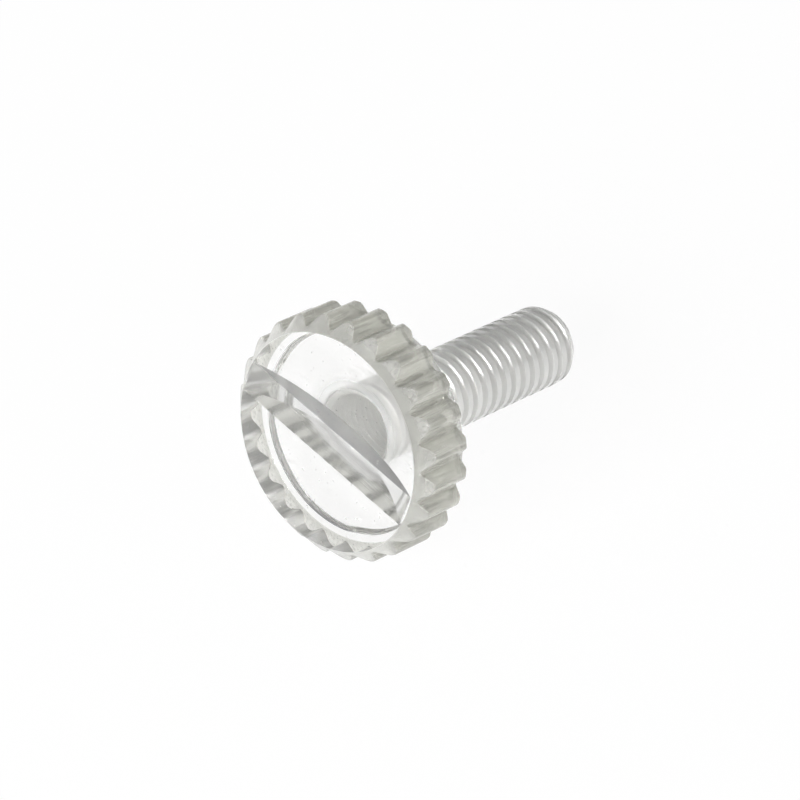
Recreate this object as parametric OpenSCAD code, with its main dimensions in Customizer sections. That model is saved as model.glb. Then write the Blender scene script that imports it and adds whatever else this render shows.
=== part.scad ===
// Slotted thumb screw: knurled head with a shallow bevelled face, a plain collar under it
// and an M4 shank. It lies on its side: two crests of the knurl and the edge of the tip
// touch the surface, so the shank points along +X and slopes down.

/* [Knurled rim] */
// Diameter over the crests of the knurl
head_d = 12; // [10:0.5:16]
// Length of the knurled rim along the screw
rim_h = 3; // [2.4:0.1:5]
// Spacing of the teeth along the circle of the crests
tooth_pitch = 1.57; // [1.5:0.01:2]
// Depth of a tooth from crest to valley
tooth_depth = 0.5; // [0.4:0.05:0.6]
// Radius of the round crests
crest_r = 0.45; // [0.3:0.05:0.5]
// Radius of the round valleys
valley_r = 0.2; // [0.1:0.05:0.25]
// Bevel from the crests down to the flat face
face_bevel = 0.7; // [0.6:0.05:1]
// Bevel at the back of the teeth
back_bevel = 0.1; // [0.05:0.05:0.3]

/* [Collar] */
// Step from the valleys of the knurl in to the collar that bears on the work
collar_inset = 0.55; // [0.2:0.05:1]
// Height of the collar
collar_h = 1; // [0.4:0.1:3]
// Bevel round the bearing face
collar_bevel = 0.15; // [0.05:0.05:0.3]

/* [Slot] */
// Width of the screwdriver slot
slot_w = 1.7; // [0.8:0.1:2.5]
// Depth at the middle of the slot, where the saw cut is deepest
slot_depth = 2.05; // [1:0.05:2.2]
// Land left between each end of the slot and the edge of the face
slot_land = 0.12; // [0.1:0.02:1]
// Turn of the slot from level, as the screw lies
slot_turn = 7.5; // [0:2.5:30]

/* [Shank] */
// Outside diameter of the thread
thread_d = 3.95; // [3:0.05:5]
// Length from the bearing face to the tip
shank_l = 12; // [6:0.5:20]
// Fillet where the shank leaves the collar
neck_r = 0.15; // [0.05:0.05:0.4]
// Length of the bevel at the tip
tip_bevel = 0.45; // [0.2:0.05:0.8]
// Step from the thread's outside in to the flat at the tip
tip_inset = 0.275; // [0.1:0.025:0.6]

/* [Hidden] */
$fn = 96;

head_r = head_d / 2;
face_r = head_r - face_bevel;
thread_r = thread_d / 2;
root_r = head_r - tooth_depth;
collar_r = root_r - collar_inset;
tip_r = thread_r - tip_inset;

// Stations along the screw, from the face at 0 to the tip
collar_end = rim_h + collar_h;
tip_end = collar_end + shank_l;
bevel_start = tip_end - tip_bevel;

// Knurl: crest circles and valley circles, joined by lines that run inside both by the ease,
// so that each line crosses its circles cleanly
ease = 0.015;
tooth_count = round(PI * head_d / tooth_pitch);
tooth_angle = 360 / tooth_count;
crest_centre = [head_r - crest_r, 0];
valley_centre = (root_r + valley_r) * [cos(tooth_angle / 2), sin(tooth_angle / 2)];
centre_step = valley_centre - crest_centre;
flank_gap = crest_r + valley_r - 2 * ease;
flank_turn = atan2(centre_step.y, centre_step.x) - acos(flank_gap / norm(centre_step));
flank_normal = [cos(flank_turn), sin(flank_turn)];
flank_top = crest_centre + (crest_r - ease) * flank_normal;
flank_foot = valley_centre - (valley_r - ease) * flank_normal;

// Slot: the saw that leaves this depth and this length on the face
slot_half = face_r - slot_land;
saw_r = (slot_half * slot_half + slot_depth * slot_depth) / (2 * slot_depth);

// Rest pose: two crests and the tip's edge on the surface
rest_station = rim_h - back_bevel;
rest_drop = crest_centre.x * cos(tooth_angle / 2) + crest_r;
slope = atan((rest_drop - thread_r) / (bevel_start - rest_station));
lift = rest_drop * cos(slope) + rest_station * sin(slope);
back_x = -face_r * sin(slope);
front_x = tip_end * cos(slope) + tip_r * sin(slope);
over = 0.3;

function turned(p, a) = [p.x * cos(a) - p.y * sin(a), p.x * sin(a) + p.y * cos(a)];
function flipped(p) = [p.x, -p.y];

// One tooth's corners, in order round the screw, ending on the next valley's centre
tooth_points = [flipped(flank_foot), flipped(flank_top), flank_top, flank_foot, valley_centre];

// Outline of the knurl, with a valley at the bottom as the screw lies
module knurl_outline() {
    difference() {
        union() {
            polygon([
                for (i = [0 : tooth_count - 1])
                    for (p = tooth_points)
                        turned(p, (i + 0.5) * tooth_angle)
            ]);
            for (i = [0 : tooth_count - 1])
                translate(turned(crest_centre, (i + 0.5) * tooth_angle))
                    circle(crest_r);
        }
        for (i = [0 : tooth_count - 1])
            translate(turned(valley_centre, (i + 0.5) * tooth_angle))
                circle(valley_r);
    }
}

// Cones that bevel both ends of the teeth; they run past the crests by the value of over
module rim_bevels() {
    rotate_extrude()
        polygon([
            [0, 0],
            [face_r, 0],
            [head_r + over, face_bevel + over],
            [head_r + over, rim_h - back_bevel - over],
            [head_r - back_bevel, rim_h],
            [0, rim_h]
        ]);
}

module rim() {
    intersection() {
        linear_extrude(rim_h)
            knurl_outline();
        rim_bevels();
    }
}

// Collar, neck fillet, shank and bevelled tip, turned as one profile
module stem() {
    rotate_extrude()
        difference() {
            polygon([
                [0, rim_h / 2],
                [thread_r, rim_h / 2],
                [thread_r, rim_h],
                [collar_r, rim_h],
                [collar_r, collar_end - collar_bevel],
                [collar_r - collar_bevel, collar_end],
                [thread_r + neck_r, collar_end],
                [thread_r + neck_r, collar_end + neck_r],
                [thread_r, collar_end + neck_r],
                [thread_r, bevel_start],
                [tip_r, tip_end],
                [0, tip_end]
            ]);
            translate([thread_r + neck_r, collar_end + neck_r])
                circle(neck_r);
        }
}

// The saw's disc, as far into the face as the slot is deep
module slot_cut() {
    rotate([0, 0, slot_turn])
        translate([0, 0, slot_depth - saw_r])
            rotate([0, 90, 0])
                cylinder(h = slot_w, r = saw_r, center = true);
}

module thumb_screw() {
    color([0.9, 0.91, 0.89, 0.5])
        translate([-(back_x + front_x) / 2, 0, lift])
            rotate([0, 90 + slope, 0])
                difference() {
                    union() {
                        rim();
                        stem();
                    }
                    slot_cut();
                }
}

thumb_screw();
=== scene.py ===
import math
import bpy
import bmesh
from mathutils import Matrix, Vector


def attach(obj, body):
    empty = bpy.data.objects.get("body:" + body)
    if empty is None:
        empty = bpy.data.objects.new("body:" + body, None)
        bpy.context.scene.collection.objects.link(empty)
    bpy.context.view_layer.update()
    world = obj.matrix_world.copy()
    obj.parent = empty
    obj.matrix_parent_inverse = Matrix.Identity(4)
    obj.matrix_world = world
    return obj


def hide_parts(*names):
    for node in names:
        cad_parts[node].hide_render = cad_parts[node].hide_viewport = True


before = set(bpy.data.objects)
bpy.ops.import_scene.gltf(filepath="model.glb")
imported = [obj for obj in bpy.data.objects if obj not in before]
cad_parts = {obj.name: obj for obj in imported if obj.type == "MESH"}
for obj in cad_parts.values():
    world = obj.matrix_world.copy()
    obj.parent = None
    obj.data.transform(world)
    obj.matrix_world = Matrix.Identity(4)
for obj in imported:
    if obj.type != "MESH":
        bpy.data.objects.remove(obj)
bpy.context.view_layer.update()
print("frame loaded")


# One socket of a shader tree. Arithmetic on it adds Math nodes; node() adds any other node.
class Wire:
    def __init__(self, tree, socket=None):
        self.tree = tree
        self.socket = socket

    def node(self, kind, settings=None, inputs=None, out=0):
        new = self.tree.nodes.new(kind)
        for name, value in (settings or {}).items():
            setattr(new, name, value)
        for name, value in (inputs or {}).items():
            if isinstance(value, Wire):
                self.tree.links.new(value.socket, new.inputs[name])
            else:
                new.inputs[name].default_value = value
        return Wire(self.tree, new.outputs[out] if len(new.outputs) else None)

    def maths(self, operation, *values):
        return self.node("ShaderNodeMath", {"operation": operation}, dict(enumerate(values)))

    def __add__(self, other):
        return self.maths("ADD", self, other)

    __radd__ = __add__

    def __mul__(self, other):
        return self.maths("MULTIPLY", self, other)

    __rmul__ = __mul__

    def __sub__(self, other):
        return self.maths("SUBTRACT", self, other)

    def __rsub__(self, other):
        return self.maths("SUBTRACT", other, self)

    def step(self, low, high):  # 0 below low, 1 above high, smooth between
        return self.node("ShaderNodeMapRange", {"interpolation_type": "SMOOTHSTEP"},
                         {"Value": self, "From Min": low, "From Max": high})

    def part(self, axis):  # one of a vector's numbers
        return self.node("ShaderNodeSeparateXYZ", None, {0: self}, "XYZ".index(axis))

    # colours blended by a share, from the first to the second
    def blend(self, share, first, second):
        return self.node("ShaderNodeMix", {"data_type": "RGBA"}, {0: share, 6: first, 7: second}, 2)


def newMaterial(name):
    material = bpy.data.materials.new(name)
    material.use_nodes = True
    material.node_tree.nodes.clear()
    return material, Wire(material.node_tree)


# Millimetres along and across the screw: z is 0 at the slotted face and grows towards the tip
screw = {
    "headR": 6.0,  # over the crests of the knurl
    "faceR": 5.3,
    "rootR": 5.5,  # valleys of the knurl
    "teeth": 24,
    "crestR": 0.45,
    "valleyR": 0.2,
    "rimEnd": 3.0,
    "backBevel": 0.1,
    "collarR": 4.95,
    "collarEnd": 4.0,
    "collarBevel": 0.15,
    "slotWide": 1.7,
    "slotDeep": 2.05,
    "slotHalf": 5.18,  # half the slot's length on the face
    "slotTurn": 7.5,
    "slotSteps": 56,
    "threadR": 1.975,
    "threadRootR": 1.68,
    "pitch": 0.7,
    "threadSteps": 96,  # round one turn
    "neckR": 0.15,
    "runOut": 0.35,  # length over which the groove fades out at the collar
    "tipEnd": 16.0,
    "tipBevel": 0.45,
    "tipInset": 0.275,
    "edge": 0.045,  # softened edges of the face; the back of the knurl and the collar have less
}


# The knurl's outline over half a tooth, from crest to valley, as (angle, radius)
def halfTooth(s):
    half = math.pi / s["teeth"]
    crest = Vector((s["headR"] - s["crestR"], 0))
    reach = s["rootR"] + s["valleyR"]
    valley = Vector((reach * math.cos(half), reach * math.sin(half)))
    step = valley - crest
    turn = math.atan2(step.y, step.x) - math.acos((s["crestR"] + s["valleyR"]) / step.length)
    points = [crest + s["crestR"] * Vector((math.cos(turn * k / 8), math.sin(turn * k / 8)))
              for k in range(9)]
    foot = turn + math.pi
    end = half + math.pi
    arc = [valley + s["valleyR"] * Vector((math.cos(foot + (end - foot) * k / 6),
                                           math.sin(foot + (end - foot) * k / 6)))
           for k in range(7)]
    points += [points[-1].lerp(arc[0], k / 3) for k in (1, 2)] + arc
    return [(math.atan2(p.y, p.x), p.length) for p in points]


def ringEdges(bm, verts):
    chosen = set(verts)
    return [e for e in bm.edges if e.verts[0] in chosen and e.verts[1] in chosen]


def soften(bm, edges, size, segments=2):
    bmesh.ops.bevel(bm, geom=edges, offset=size, offset_type="OFFSET", affect="EDGES",
                    segments=segments, profile=0.5, material=-1, clamp_overlap=True)


# Grows the next ring of a turned or toothed wall from the last ring's edges
def growRing(bm, ring, place):
    made = bmesh.ops.extrude_edge_only(bm, edges=ringEdges(bm, ring))
    new = [v for v in made["geom"] if isinstance(v, bmesh.types.BMVert)]
    for v in new:
        turn = math.atan2(v.co.y, v.co.x)
        radius, station = place(turn, math.hypot(v.co.x, v.co.y))
        v.co = Vector((radius * math.cos(turn), radius * math.sin(turn), station))
    return new


def makeHead(bm, s):
    half = halfTooth(s)
    tooth = [(-a, r) for a, r in reversed(half[1:])] + half[:-1]  # valley to valley
    count = len(tooth)
    full = 2 * math.pi / s["teeth"]
    outline = [((i // count + 0.5) * full + tooth[i % count][0], tooth[i % count][1])
               for i in range(count * s["teeth"])]
    ring = bmesh.ops.create_circle(bm, cap_ends=False, segments=len(outline), radius=1)["verts"]
    ring = sorted(ring, key=lambda v: math.atan2(v.co.y, v.co.x) % (2 * math.pi))
    radiusAt = {}
    for v, (turn, radius) in zip(ring, outline):
        v.co = Vector((s["faceR"] * math.cos(turn), s["faceR"] * math.sin(turn), 0))
        radiusAt[round(math.atan2(v.co.y, v.co.x), 5)] = radius
    knurl = lambda turn: radiusAt[round(turn, 5)]
    lobes = growRing(bm, ring, lambda t, r: (knurl(t), knurl(t) - s["faceR"]))
    flatR = s["headR"] - s["backBevel"]
    soft = s["edge"] * 0.7
    back = growRing(bm, lobes, lambda t, r: (r, s["rimEnd"] - max(soft, r - flatR)))
    backFlat = growRing(bm, back, lambda t, r: (min(r - soft, flatR), s["rimEnd"]))
    root = growRing(bm, backFlat, lambda t, r: (s["collarR"], s["rimEnd"]))
    wall = growRing(bm, root, lambda t, r: (s["collarR"], s["collarEnd"] - s["collarBevel"]))
    bearing = growRing(bm, wall, lambda t, r: (s["collarR"] - s["collarBevel"], s["collarEnd"]))
    soften(bm, ringEdges(bm, lobes), s["edge"])
    soften(bm, ringEdges(bm, wall), s["edge"] / 2)
    return ring, bearing


# Fills the face inside its rim and cuts the slot, with a floor that a round saw leaves
def makeFace(bm, s, rim):
    flats = bmesh.ops.contextual_create(bm, geom=ringEdges(bm, rim))["faces"]
    turn = math.radians(s["slotTurn"])
    along = Vector((-math.sin(turn), math.cos(turn), 0))
    across = Vector((along.y, -along.x, 0))
    wide = s["slotWide"] / 2

    def cut(faces, point, normal):
        around = {e for f in faces for e in f.edges} | {v for f in faces for v in f.verts}
        made = bmesh.ops.bisect_plane(bm, geom=list(around) + faces, dist=1e-6,
                                      plane_co=point, plane_no=normal)
        return [f for f in made["geom"] if isinstance(f, bmesh.types.BMFace)]

    for side in (-wide, wide):
        flats = cut(flats, across * side, across)
    strip = [f for f in flats if abs(f.calc_center_median().dot(across)) < wide]
    for k in range(s["slotSteps"] + 1):
        strip = cut(strip, along * -s["slotHalf"] * math.cos(math.pi * k / s["slotSteps"]), along)
    floor = [f for f in strip if abs(f.calc_center_median().dot(along)) < s["slotHalf"]]
    made = bmesh.ops.extrude_face_region(bm, geom=floor)
    bmesh.ops.delete(bm, geom=floor, context="FACES")
    low = [v for v in made["geom"] if isinstance(v, bmesh.types.BMVert)]
    sawR = (s["slotHalf"] ** 2 + s["slotDeep"] ** 2) / (2 * s["slotDeep"])
    for v in low:
        reach = min(abs(v.co.dot(along)), s["slotHalf"])
        v.co.z = math.sqrt(sawR ** 2 - reach ** 2) - (sawR - s["slotDeep"])
    bmesh.ops.remove_doubles(bm, verts=[v for v in bm.verts if abs(v.co.z) < 1e-4], dist=1e-5)


# Spins one turn of the thread, stacks copies of it and trims them to length.
# Returns a ring on the bearing face, just outside the neck.
def makeShank(bm, s):
    depth = s["threadR"] - s["threadRootR"]
    half = [(0, 0), (0.225, 0), (0.24, 0.05), (0.25, 0.091), (0.45, 0.909), (0.46, 0.95),
            (0.475, 1)]  # share of the pitch, share of the depth
    profile = half + [(0.5, 1)] + [(1 - z, low) for z, low in reversed(half)]
    start = s["collarEnd"] - s["pitch"]
    verts = [bm.verts.new((s["threadR"] - depth * low, 0, start + z * s["pitch"]))
             for z, low in profile]
    edges = [bm.edges.new(pair) for pair in zip(verts, verts[1:])]
    bmesh.ops.spin(bm, geom=verts + edges, cent=(0, 0, 0), axis=(0, 0, 1),
                   dvec=(0, 0, s["pitch"] / s["threadSteps"]), angle=2 * math.pi,
                   steps=s["threadSteps"], use_merge=False, use_duplicate=False)
    turn = bm.verts[:] + bm.edges[:] + bm.faces[:]
    for k in range(1, math.ceil((s["tipEnd"] - start) / s["pitch"])):
        copy = bmesh.ops.duplicate(bm, geom=turn)["geom"]
        bmesh.ops.translate(bm, verts=[v for v in copy if isinstance(v, bmesh.types.BMVert)],
                            vec=(0, 0, s["pitch"] * k))
    bmesh.ops.remove_doubles(bm, verts=bm.verts, dist=1e-4)
    neckEnd = s["collarEnd"] + s["neckR"]
    for station, side in ((neckEnd, 1), (s["tipEnd"], -1)):
        bmesh.ops.bisect_plane(bm, geom=bm.verts[:] + bm.edges[:] + bm.faces[:], dist=1e-5,
                               plane_co=(0, 0, station), plane_no=(0, 0, side), clear_inner=True)
    for v in bm.verts:
        radius = math.hypot(v.co.x, v.co.y)
        fade = min(1, (v.co.z - neckEnd) / s["runOut"])
        wanted = s["threadR"] - (s["threadR"] - radius) * fade
        tipLine = s["threadR"] - s["tipInset"] * (1 - (s["tipEnd"] - v.co.z) / s["tipBevel"])
        wanted = min(wanted, tipLine)
        v.co.x *= wanted / radius
        v.co.y *= wanted / radius
    neck = [v for v in bm.verts if abs(v.co.z - neckEnd) < 1e-4]
    tip = [v for v in bm.verts if abs(v.co.z - s["tipEnd"]) < 1e-4]
    bmesh.ops.contextual_create(bm, geom=ringEdges(bm, tip))
    for k in range(1, 6):
        swing = math.pi / 2 * k / 5
        neck = growRing(bm, neck, lambda t, r: (s["threadR"] + s["neckR"] * (1 - math.cos(swing)),
                                                neckEnd - s["neckR"] * math.sin(swing)))
    return growRing(bm, neck, lambda t, r: (r + 0.05, s["collarEnd"]))


def makeScrew(s):
    bm = bmesh.new()
    neck = makeShank(bm, s)
    face, bearing = makeHead(bm, s)
    bmesh.ops.triangle_fill(bm, use_beauty=True, edges=ringEdges(bm, neck) + ringEdges(bm, bearing))
    makeFace(bm, s, face)
    bmesh.ops.recalc_face_normals(bm, faces=bm.faces)
    opened = [e for e in bm.edges if len(e.link_faces) != 2]
    print("screw mesh:", len(bm.faces), "faces,", len(opened), "open edges,",
          round(bm.calc_volume(signed=True), 2), "cubic mm")
    return bm


# Where the screw lies: on two crests of the knurl and the edge of its tip
def restPlace(s):
    half = math.pi / s["teeth"]
    tipR = s["threadR"] - s["tipInset"]
    station = s["rimEnd"] - s["backBevel"]
    drop = (s["headR"] - s["crestR"]) * math.cos(half) + s["crestR"]
    slope = math.atan((drop - s["threadR"]) / (s["tipEnd"] - s["tipBevel"] - station))
    lift = drop * math.cos(slope) + station * math.sin(slope)
    back = -s["faceR"] * math.sin(slope)
    front = s["tipEnd"] * math.cos(slope) + tipR * math.sin(slope)
    return Vector((-(back + front) / 2, 0, lift)), math.pi / 2 + slope


place, lean = restPlace(screw)
bm = makeScrew(screw)
toWorld = Matrix.Scale(0.001, 4) @ Matrix.Translation(place) @ Matrix.Rotation(lean, 4, "Y")
bm.transform(toWorld)
mesh = bpy.data.meshes.new("thumbScrew")
bm.to_mesh(mesh)
bm.free()
mesh.shade_smooth()
mesh.set_sharp_from_angle(angle=math.radians(32))
thumbScrew = bpy.data.objects.new("thumbScrew", mesh)
bpy.context.scene.collection.objects.link(thumbScrew)
print("screw placed")


# Each finish as (colour, roughness and milky share from outside, the same from inside)
plastic = {
    "ior": 1.585,
    "depthColour": (0.96, 0.96, 0.9, 1),  # tint of the plastic where it is thick
    "density": 30.0,
    "face": ((1.0, 1.0, 1.0), (0.02, 0.0), (0.02, 0.0)),
    "bevel": ((0.58, 0.58, 0.55), (0.2, 0.33), (0.15, 0.08)),
    "tooth": ((0.68, 0.68, 0.62), (0.14, 0.3), (0.28, 0.03)),
    "slot": ((0.79, 0.79, 0.79), (0.2, 0.06), (0.25, 0.38)),
    "collar": ((0.92, 0.92, 0.91), (0.24, 0.3), (0.4, 0.6)),
    "bearing": ((1.0, 1.0, 1.0), (0.16, 0.02), (0.16, 0.0)),
    "thread": ((0.97, 0.97, 0.955), (0.18, 0.46), (0.6, 0.68)),
    "skin": (0.5, 0.19),  # share and roughness of the thread's glossy skin, outside
    "neckHaze": (1.0, 0.35),  # millimetres it reaches out from the neck, and its milky share
    "dark": (0.2, 0.2, 0.16),  # colour of the lines, of the painted shade in the valleys between the teeth, and of the marks
    "darkShare": {"lines": 0.6, "crevices": 0.4, "onBevel": 0.35},
    "bump": 0.00003,  # metres, for a pattern of height 1
    "height": {"streaks": 1.3, "sawMarks": 0.35, "grain": 0.04},
    # each pattern's waves to the millimetre on three axes, its detail and a shift
    "streaks": ((7, 7, 0.35), 3.0, 0.0),
    "sawMarks": ((2, 0.5, 9), 3.0, 0.0),
    "grain": ((9, 9, 9), 3.0, 0.0),
    "lines": ((5, 5, 0.25), 4.0, 4.0),
    "specks": ((3.5, 3.5, 0), 4.0, 7.3),
    "smears": ((0.9, 0.35, 0), 5.0, 2.1),
    # what a mark adds of the dark colour, of roughness and of milkiness
    "speckShare": (0.4, 0.25, 0.3),
    "smearShare": (0.3, 0.1, 0.1),
}


def clearPlastic(s, look):
    material, tree = newMaterial("clearPlastic")
    spot = tree.node("ShaderNodeTexCoord", None, None, 3)
    own = tree.node("ShaderNodeMapping", {"vector_type": "TEXTURE"}, {
        "Vector": spot, "Location": place * 0.001, "Rotation": (0, lean, 0),
        "Scale": (0.001, 0.001, 0.001)})  # the screw's own millimetres
    x, y, z = own.part("X"), own.part("Y"), own.part("Z")
    r = tree.maths("SQRT", x * x + y * y)
    turn = math.radians(s["slotTurn"])
    across = x * math.cos(turn) + y * math.sin(turn)
    along = y * math.cos(turn) - x * math.sin(turn)

    # where each finish is, 1 on it and 0 off it, with soft ends in millimetres
    outside = r.step(s["faceR"] - 0.02, s["faceR"] + 0.04)
    inHead = 1 - z.step(s["rimEnd"] + 0.02, s["rimEnd"] + 0.04)
    behindBevel = (z - r + s["faceR"]).step(0.02, 0.08)
    aboveFloor = 1 - z.step(s["slotDeep"] + 0.15, s["slotDeep"] + 0.45)
    collarWall = z.step(s["rimEnd"] + 0.05, s["rimEnd"] + 0.5)
    collarWall *= 1 - z.step(s["collarEnd"] - 0.5, s["collarEnd"] - 0.1)
    shank = z.step(s["collarEnd"] + 0.02, s["collarEnd"] + 0.3)
    bearing = z.step(s["collarEnd"] - 0.06, s["collarEnd"] - 0.02) * (1 - shank)
    areas = {
        "bevel": outside * (1 - behindBevel),
        "tooth": outside * behindBevel * inHead,
        "slot": (1 - outside) * z.step(0.03, 0.08) * aboveFloor,
        "collar": collarWall,
        "bearing": bearing,
        "thread": shank,
    }

    def pattern(name, axes=(x, y, z)):
        waves, detail, shift = look[name]
        a, b, c = (axis * wave for axis, wave in zip(axes, waves))
        vector = tree.node("ShaderNodeCombineXYZ", None, {0: a, 1: b, 2: c + shift})
        return tree.node("ShaderNodeTexNoise", {"noise_dimensions": "3D"},
                         {"Vector": vector, "Scale": 1.0, "Detail": detail})

    # streaks along the teeth, saw marks in the slot, a satin grain on the thread
    height = (pattern("streaks") * areas["tooth"] * look["height"]["streaks"]
              + pattern("sawMarks", (across, along, z)) * areas["slot"] * look["height"]["sawMarks"]
              + pattern("grain") * areas["thread"] * look["height"]["grain"])
    bump = tree.node("ShaderNodeBump", None,
                     {"Strength": 1.0, "Distance": look["bump"], "Height": height})

    # from the clear polished face to each finish in its area
    inside = tree.node("ShaderNodeNewGeometry", None, None, 6)
    colour, (rough, milky) = look["face"][0] + (1,), look["face"][1]
    for name, share in areas.items():
        colour = tree.blend(share, colour, look[name][0] + (1,))
        (outRough, outMilky), (inRough, inMilky) = look[name][1:]
        rough = share * (inside * (inRough - outRough) + outRough - look["face"][1][0]) + rough
        milky = share * (inside * (inMilky - outMilky) + outMilky) + milky

    # darker lines along the teeth, and painted shade darkening the valleys between them
    dark, darkShare = look["dark"] + (1,), look["darkShare"]
    lines = pattern("lines").step(0.5, 0.66) * darkShare["lines"]
    # painted shade: the valleys of the knurl are darkened towards the dark colour
    crevices = (1 - r.step(s["rootR"] + 0.02, s["rootR"] + 0.2)) * darkShare["crevices"]
    where = areas["tooth"] + areas["bevel"] * darkShare["onBevel"]
    colour = tree.blend(tree.maths("MAXIMUM", lines, crevices) * where, colour, dark)

    # handling marks on the polished face: specks, and smears that cloud it a little
    onFace = (1 - outside) * (1 - z.step(0.01, 0.03))
    specks = pattern("specks").step(0.65, 0.71)
    smears = pattern("smears").step(0.56, 0.72)
    added = [onFace * (specks * speck + smears * smear)
             for speck, smear in zip(look["speckShare"], look["smearShare"])]
    colour = tree.blend(added[0], colour, dark)
    rough = added[1] + rough
    milky = added[2] + milky

    # haze on the bearing face round the neck
    reach, strength = look["neckHaze"]
    haze = (1 - r.step(s["threadR"] + 0.1, s["threadR"] + 0.1 + reach)) * bearing
    milky = tree.maths("MAXIMUM", milky, haze * strength)

    skin, skinRough = look["skin"]
    finish = {"Base Color": colour, "Roughness": rough, "IOR": look["ior"], "Normal": bump,
              "Coat Weight": shank * (1 - inside) * skin, "Coat Roughness": skinRough,
              "Coat IOR": look["ior"]}
    clear = tree.node("ShaderNodeBsdfPrincipled", None, finish | {"Transmission Weight": 1.0})
    dull = tree.node("ShaderNodeBsdfPrincipled", None, finish)
    shader = tree.node("ShaderNodeMixShader", None, {0: milky, 1: clear, 2: dull})
    depth = tree.node("ShaderNodeVolumeAbsorption", None,
                      {"Color": look["depthColour"], "Density": look["density"]})
    tree.node("ShaderNodeOutputMaterial", None, {"Surface": shader, "Volume": depth})
    return material


mesh.materials.append(clearPlastic(screw, plastic))
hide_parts("thumb_screw")
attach(thumbScrew, "root")
print("plastic made")


studio = {
    "floorSize": 4.0,
    "floorColour": 0.9,
    "floorShown": 0.95,  # share of plain white in the floor as it is seen
    "roomGrey": 0.2,  # the dim room above the floor, as light and as the plastic shows it
    "sweep": (-0.02, 0.05),  # where the white sweep behind the screw ends and the room begins
    "keyBox": ((-0.6, -0.03, 0.34), (0.4, 0.22), 7.4),  # place and size in metres, watts
    "sideBox": ((0.18, -0.68, 0.11), (0.4, 0.16), 2.6),
}


# Returns 1 for what is seen straight, in a reflection or through the plastic, and
# 1 for what is seen straight
def asBackground(tree):
    path = tree.node("ShaderNodeLightPath").socket.node
    seen, glossy, through = (Wire(tree.tree, path.outputs[name]) for name in
                             ("Is Camera Ray", "Is Glossy Ray", "Is Transmission Ray"))
    return tree.maths("MAXIMUM", seen, tree.maths("MAXIMUM", glossy, through)), seen


def makeFloor():
    bm = bmesh.new()
    bmesh.ops.create_grid(bm, x_segments=1, y_segments=1, size=studio["floorSize"] / 2)
    mesh = bpy.data.meshes.new("floor")
    bm.to_mesh(mesh)
    bm.free()
    floor = bpy.data.objects.new("floor", mesh)
    bpy.context.scene.collection.objects.link(floor)
    material, tree = newMaterial("whiteFloor")
    shown = asBackground(tree)[0]
    paint = (studio["floorColour"],) * 3 + (1,)
    diffuse = tree.node("ShaderNodeBsdfDiffuse", None, {"Color": paint})
    glow = tree.node("ShaderNodeEmission", None, {"Color": (1, 1, 1, 1), "Strength": 1.0})
    mixed = tree.node("ShaderNodeMixShader", None,
                      {0: shown * studio["floorShown"], 1: diffuse, 2: glow})
    tree.node("ShaderNodeOutputMaterial", None, {"Surface": mixed})
    mesh.materials.append(material)


makeFloor()

world = bpy.data.worlds.new("studio")
bpy.context.scene.world = world
world.use_nodes = True
world.node_tree.nodes.clear()
sky = Wire(world.node_tree)
shown, seen = asBackground(sky)
heading = sky.node("ShaderNodeTexCoord", None, None, 0)
low = 1 - heading.part("Z").step(*studio["sweep"])
white = sky.maths("MAXIMUM", seen, shown * low)
level = studio["roomGrey"] + white * (1 - studio["roomGrey"])
light = sky.node("ShaderNodeBackground", None, {"Color": (1, 1, 1, 1), "Strength": level})
sky.node("ShaderNodeOutputWorld", None, {"Surface": light})


# A soft lamp that faces the screw
def softBox(name):
    place, size, power = studio[name]
    data = bpy.data.lights.new(name, "AREA")
    data.shape = "RECTANGLE"
    data.size, data.size_y = size
    data.energy = power
    lamp = bpy.data.objects.new(name, data)
    lamp.location = place
    lamp.rotation_mode = "QUATERNION"
    lamp.rotation_quaternion = Vector(place).to_track_quat("Z", "Y")
    bpy.context.scene.collection.objects.link(lamp)


softBox("keyBox")
softBox("sideBox")
print("studio made")


shot = {
    "place": (-0.11475, -0.10560, 0.16684),
    "right": (0.6841, -0.7295, 0.0),
    "up": (0.5268, 0.4941, 0.6916),
    "lens": 216.0,
    "sensor": 36,
    "nearest": 0.01,
    "bounces": 32,  # the light goes in and out of the plastic many times
    "glossyBounces": 16,
}

cameraData = bpy.data.cameras.new("camera")
cameraData.lens = shot["lens"]
cameraData.sensor_width = shot["sensor"]
cameraData.clip_start = shot["nearest"]
camera = bpy.data.objects.new("camera", cameraData)
right, up = Vector(shot["right"]).normalized(), Vector(shot["up"]).normalized()
back = right.cross(up).normalized()
up = back.cross(right)
turned = Matrix((right, up, back)).transposed().to_4x4()
camera.matrix_world = Matrix.Translation(shot["place"]) @ turned
bpy.context.scene.collection.objects.link(camera)
scene = bpy.context.scene
scene.camera = camera
scene.view_settings.view_transform = "Standard"
scene.cycles.max_bounces = shot["bounces"]
scene.cycles.transmission_bounces = shot["bounces"]
scene.cycles.glossy_bounces = shot["glossyBounces"]
scene.cycles.sample_clamp_indirect = 0  # keeps the lamp's glints on the thread

print("camera set")
